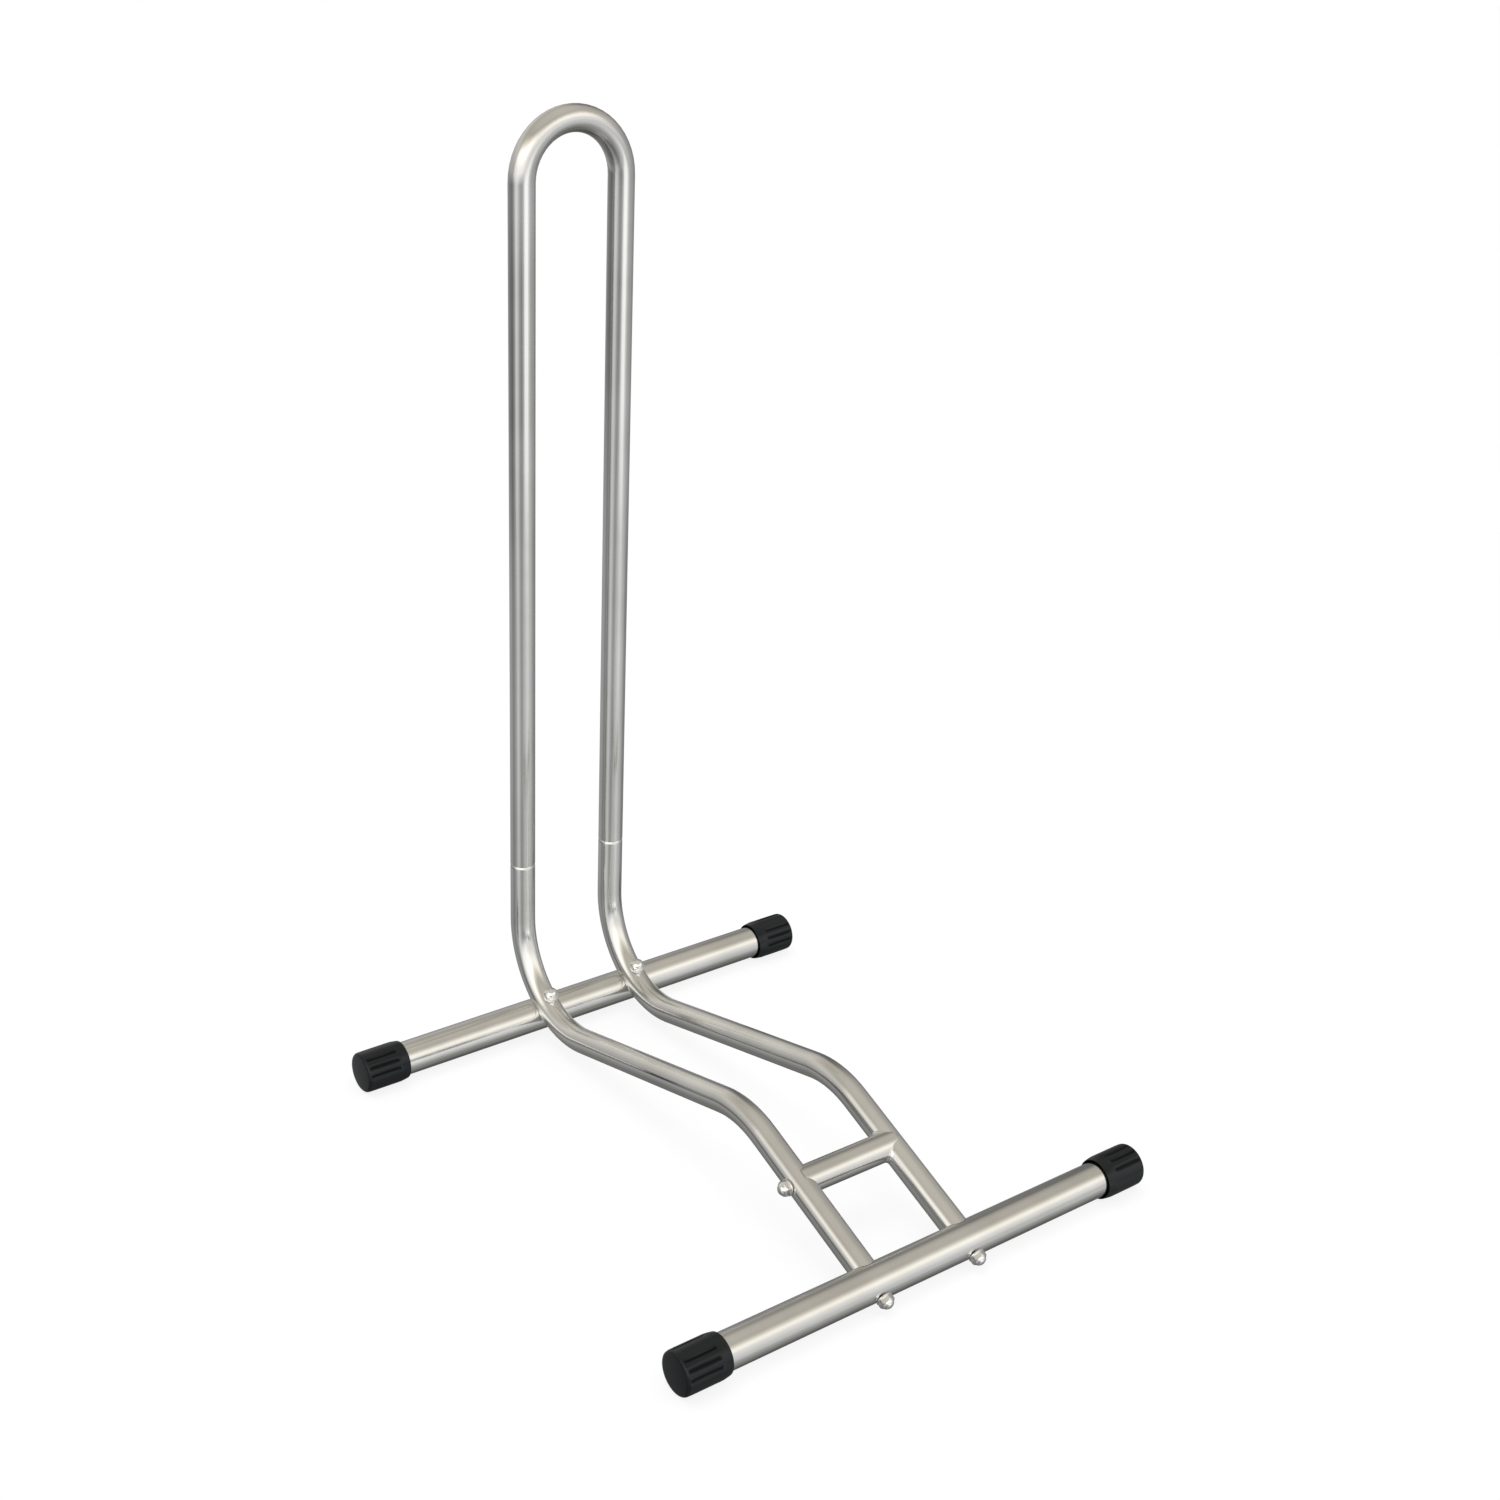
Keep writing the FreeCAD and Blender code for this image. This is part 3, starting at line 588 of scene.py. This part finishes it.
def put_caps():
    """The four feet, turned as the photograph shows them, each cut flat where it stands on the floor."""
    model = model_cap()
    for corner, turn in CAP_TURNS.items():
        end, side = corner.split("_")
        out = Vector((SIDES[side], 0, 0))
        angle = math.radians(turn + (GROOVE_GROUPS if side == "right" else 0))
        grooves = Vector((0, -math.cos(angle), math.sin(angle)))
        tube = middle_of(f"{end}_base_tube")
        low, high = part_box(f"{corner}_foot_cap")
        tip = high[0] if side == "right" else low[0]
        mouth = Vector((tip - SIDES[side] * CAP_LENGTH * MM, tube.y, tube.z))
        cap = copy_piece(model, f"{corner}_rubber_foot", looking(out, grooves, mouth))
        open_piece(cap)
        bpy.ops.mesh.select_all(action="SELECT")
        up = (0, 0, 1)
        bpy.ops.mesh.bisect(plane_co=(0, 0, 0), plane_no=up, use_fill=True, clear_inner=True, threshold=0)
        bpy.ops.object.mode_set(mode="OBJECT")
        stand_for(cap, f"{corner}_foot_cap")
    bpy.data.objects.remove(model)


def put_bolts():
    """Each bolt and its washer, on the line through the tube that they clamp."""
    washer_model = model_washer()
    head_model = model_head()
    for label, tube in BOLT_LINES.items():
        washer_middle = middle_of(f"{label}_washer")
        start = middle_of(tube)
        if tube != "crossbar":
            start.x = washer_middle.x
        out = (washer_middle - start).normalized()
        across = Vector((0, 1, 0)) if tube == "crossbar" else Vector((1, 0, 0))
        half = out * WASHER_THICK / 2 * MM
        lying = looking(out, across, washer_middle - half)
        washer = copy_piece(washer_model, f"{label}_plain_washer", lying)
        stand_for(washer, f"{label}_washer")
        seat = washer_middle + half
        solid = frame["nodes"][f"{label}_bolt"]
        depth = -min((vertex.co - seat).dot(out) for vertex in solid.data.vertices)
        shank = model_shank(depth / MM)
        bolt = copy_piece(head_model, f"{label}_hex_bolt", Matrix.Identity(4))
        make_one(bolt, shank)
        bpy.ops.object.shade_smooth_by_angle(angle=BOLT_SMOOTH)
        bolt.matrix_world = looking(out, across, seat)
        bpy.ops.object.transform_apply(location=True, rotation=True, scale=True)
        stand_for(bolt, f"{label}_bolt")
    bpy.data.objects.remove(washer_model)
    bpy.data.objects.remove(head_model)


def put_weld():
    """The weld round the crossbar's right end: a smooth fillet from the bar over to the frame tube."""
    bar_low, bar_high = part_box("crossbar")
    bar_radius = (bar_high[2] - bar_low[2]) / 2
    tube_low, tube_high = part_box("right_frame_tube")
    tube_radius = (tube_high[0] - tube_low[0]) / 2
    joint = middle_of("crossbar")
    joint.x = (tube_low[0] + tube_high[0]) / 2
    out = (middle_of("front_right_washer") - middle_of("front_base_tube")) * Vector((0, 1, 1))
    down_slope = out.normalized()
    off_slope = Vector((1, 0, 0)).cross(down_slope)
    leg, sink = WELD_LEG * MM, WELD_SINK * MM

    def on_bar(angle, radius):
        """Off the slope and down the slope, at an angle round the bar."""
        return radius * math.cos(angle), radius * math.sin(angle)

    def corner_at(angle):
        """Where the bar's end meets the tube: across the tube, off the slope and down the slope."""
        off, down = on_bar(angle, bar_radius)
        return Vector((-math.sqrt(max(tube_radius**2 - off**2, 0)), off, down))

    def foot_on_tube(angle):
        """Where the weld runs out on the tube; past the tube's crest it goes on round it."""
        off, down = on_bar(angle, bar_radius + leg)
        radius = tube_radius - sink
        if abs(off) < radius:
            return Vector((-math.sqrt(radius**2 - off**2), off, down))
        over = (abs(off) - radius) / radius
        return Vector((radius * math.sin(over), math.copysign(radius * math.cos(over), off), down))

    def weld_place(angle, ring):
        """A place on the weld's skin, from the bar (0) to the tube, and last its root inside the joint."""
        corner = corner_at(angle)
        if ring > WELD_STEPS:
            return Vector((corner.x, corner.y * WELD_ROOT, corner.z * WELD_ROOT))
        head = Vector((corner.x - leg, *on_bar(angle, bar_radius - sink)))
        share = ring / WELD_STEPS
        return head.lerp(corner, share).lerp(corner.lerp(foot_on_tube(angle), share), share)

    bpy.ops.object.select_all(action="DESELECT")
    bpy.ops.mesh.primitive_circle_add(vertices=WELD_POINTS, radius=bar_radius)
    weld = bpy.context.active_object
    weld.name = "bar_right_weld"
    bpy.ops.object.mode_set(mode="EDIT")
    bpy.ops.mesh.select_all(action="SELECT")
    for _ in range(WELD_STEPS + 1):
        bpy.ops.mesh.extrude_edges_move(TRANSFORM_OT_translate={"value": (0, 0, MM)})
    bpy.ops.mesh.select_all(action="DESELECT")
    bpy.ops.mesh.select_non_manifold()
    bpy.ops.mesh.bridge_edge_loops()
    bpy.ops.object.mode_set(mode="OBJECT")
    for point in weld.data.vertices:
        place = weld_place(math.atan2(point.co.y, point.co.x), round(point.co.z / MM))
        point.co = joint + Vector((place.x, 0, 0)) + off_slope * place.y + down_slope * place.z
    open_piece(weld)
    close_piece()
    bpy.ops.object.shade_smooth()
    weld.data.materials.clear()
    weld.data.materials.append(MATERIALS["tube_steel"])
    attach(weld, "base")


def make_camera():
    """The studio camera, aimed by its azimuth and elevation and then rolled."""
    back = Vector(
        (
            math.sin(CAMERA_AZIMUTH) * math.cos(CAMERA_ELEVATION),
            -math.cos(CAMERA_AZIMUTH) * math.cos(CAMERA_ELEVATION),
            math.sin(CAMERA_ELEVATION),
        )
    )
    right = Vector((math.cos(CAMERA_AZIMUTH), math.sin(CAMERA_AZIMUTH), 0.0))
    level = Matrix((right, back.cross(right), back)).transposed()
    turn = level @ Matrix.Rotation(CAMERA_ROLL, 3, "Z")
    data = bpy.data.cameras.new("studio_camera")
    data.sensor_width = SENSOR_WIDTH
    data.lens = CAMERA_LENS
    camera = bpy.data.objects.new("studio_camera", data)
    camera.matrix_world = Matrix.Translation(CAMERA_PLACE) @ turn.to_4x4()
    scene.collection.objects.link(camera)
    scene.camera = camera


def make_floor():
    """A white sweep that shows white to the camera with a soft shadow, and that the tube doesn't mirror."""
    bpy.ops.object.select_all(action="DESELECT")
    bpy.ops.mesh.primitive_plane_add(size=2 * FLOOR_HALF)
    floor = bpy.context.active_object
    floor.name = "white_sweep"
    material, tree = new_material("white paper")
    place = add_node(tree, "ShaderNodeTexCoord").outputs["Object"]
    paper = add_node(tree, "ShaderNodeBsdfDiffuse")
    distance = add_node(tree, "ShaderNodeVectorMath", operation="LENGTH")
    tree.links.new(place, distance.inputs[0])
    reach = add_node(tree, "ShaderNodeMapRange", inputs={"From Min": 0.0, "From Max": PAPER_REACH})
    tree.links.new(distance.outputs["Value"], reach.inputs["Value"])
    tree.links.new(ramp(tree, reach.outputs[0], PAPER_BY_DISTANCE), paper.inputs["Color"])
    glow = add_node(tree, "ShaderNodeEmission")
    tree.links.new(ramp(tree, reach.outputs[0], PAPER_GLOW), glow.inputs["Color"])
    both = add_node(tree, "ShaderNodeAddShader")
    tree.links.new(paper.outputs["BSDF"], both.inputs[0])
    tree.links.new(glow.outputs["Emission"], both.inputs[1])
    path = add_node(tree, "ShaderNodeLightPath")
    seen = add_node(tree, "ShaderNodeMixShader")
    tree.links.new(path.outputs["Is Camera Ray"], seen.inputs["Fac"])
    tree.links.new(paper.outputs["BSDF"], seen.inputs[1])
    tree.links.new(both.outputs["Shader"], seen.inputs[2])
    output = add_node(tree, "ShaderNodeOutputMaterial")
    tree.links.new(seen.outputs["Shader"], output.inputs["Surface"])
    floor.data.materials.append(material)
    floor.visible_glossy = False


def make_room():
    """The studio: white behind the stand, even for soft light, and banded for what the tube mirrors."""
    world = bpy.data.worlds.new("studio")
    scene.world = world
    world.use_nodes = True
    tree = world.node_tree
    tree.nodes.clear()
    way = add_node(tree, "ShaderNodeTexCoord").outputs["Generated"]
    axes = add_node(tree, "ShaderNodeSeparateXYZ")
    tree.links.new(way, axes.inputs["Vector"])
    height = add_node(tree, "ShaderNodeMapRange", inputs={"From Min": -1.0, "From Max": 1.0})
    tree.links.new(axes.outputs["Z"], height.inputs["Value"])
    front = add_node(tree, "ShaderNodeMath", operation="MULTIPLY", inputs={1: -1.0})
    tree.links.new(axes.outputs["Y"], front.inputs[0])
    bearing = add_node(tree, "ShaderNodeMath", operation="ARCTAN2")
    tree.links.new(axes.outputs["X"], bearing.inputs[0])
    tree.links.new(front.outputs[0], bearing.inputs[1])
    turn = add_node(tree, "ShaderNodeMapRange", inputs={"From Min": -math.pi, "From Max": math.pi})
    tree.links.new(bearing.outputs[0], turn.inputs["Value"])
    walls = ramp(tree, turn.outputs[0], ROOMS[0])
    for (start, end), room in zip(ROOM_CHANGES, ROOMS[1:]):
        share = add_node(tree, "ShaderNodeMapRange", inputs={"From Min": start, "From Max": end})
        tree.links.new(height.outputs[0], share.inputs["Value"])
        blend = add_node(tree, "ShaderNodeMix", data_type="RGBA")
        tree.links.new(share.outputs[0], blend.inputs[MIX_FACTOR])
        tree.links.new(walls, blend.inputs[MIX_FIRST])
        tree.links.new(ramp(tree, turn.outputs[0], room), blend.inputs[MIX_SECOND])
        walls = blend.outputs[MIX_RESULT]
    bands = add_node(tree, "ShaderNodeMix", data_type="RGBA", blend_type="MULTIPLY")
    bands.inputs[MIX_FACTOR].default_value = 1.0
    tree.links.new(ramp(tree, height.outputs[0], ROOM_BY_HEIGHT), bands.inputs[MIX_FIRST])
    tree.links.new(walls, bands.inputs[MIX_SECOND])
    mirrored = add_node(tree, "ShaderNodeBackground")
    tree.links.new(bands.outputs[MIX_RESULT], mirrored.inputs["Color"])
    even = add_node(tree, "ShaderNodeBackground", inputs={"Color": WHITE, "Strength": EVEN_LIGHT})
    path = add_node(tree, "ShaderNodeLightPath")
    choose = add_node(tree, "ShaderNodeMixShader")
    tree.links.new(path.outputs["Is Glossy Ray"], choose.inputs["Fac"])
    tree.links.new(even.outputs["Background"], choose.inputs[1])
    tree.links.new(mirrored.outputs["Background"], choose.inputs[2])
    backdrop = add_node(tree, "ShaderNodeBackground", inputs={"Color": WHITE, "Strength": 1.0})
    seen = add_node(tree, "ShaderNodeMixShader")
    tree.links.new(path.outputs["Is Camera Ray"], seen.inputs["Fac"])
    tree.links.new(choose.outputs["Shader"], seen.inputs[1])
    tree.links.new(backdrop.outputs["Background"], seen.inputs[2])
    output = add_node(tree, "ShaderNodeOutputWorld")
    tree.links.new(seen.outputs["Shader"], output.inputs["Surface"])


def add_softbox(name, place, aim, size, power):
    """A soft light for the floor and the rubber; neither the picture nor the tube's mirror shows it."""
    data = bpy.data.lights.new(name, "AREA")
    data.shape = "RECTANGLE"
    data.size, data.size_y = size
    data.energy = power
    lamp = bpy.data.objects.new(name, data)
    lamp.location = place
    lamp.rotation_euler = (Vector(aim) - Vector(place)).to_track_quat("-Z", "Y").to_euler()
    lamp.visible_camera = False
    lamp.visible_glossy = False
    scene.collection.objects.link(lamp)


dress_solids()
put_bent_tubes()
put_caps()
put_bolts()
put_weld()
make_camera()
make_floor()
make_room()
for softbox in SOFTBOXES:
    add_softbox(*softbox)
scene.view_settings.view_transform = "Standard"
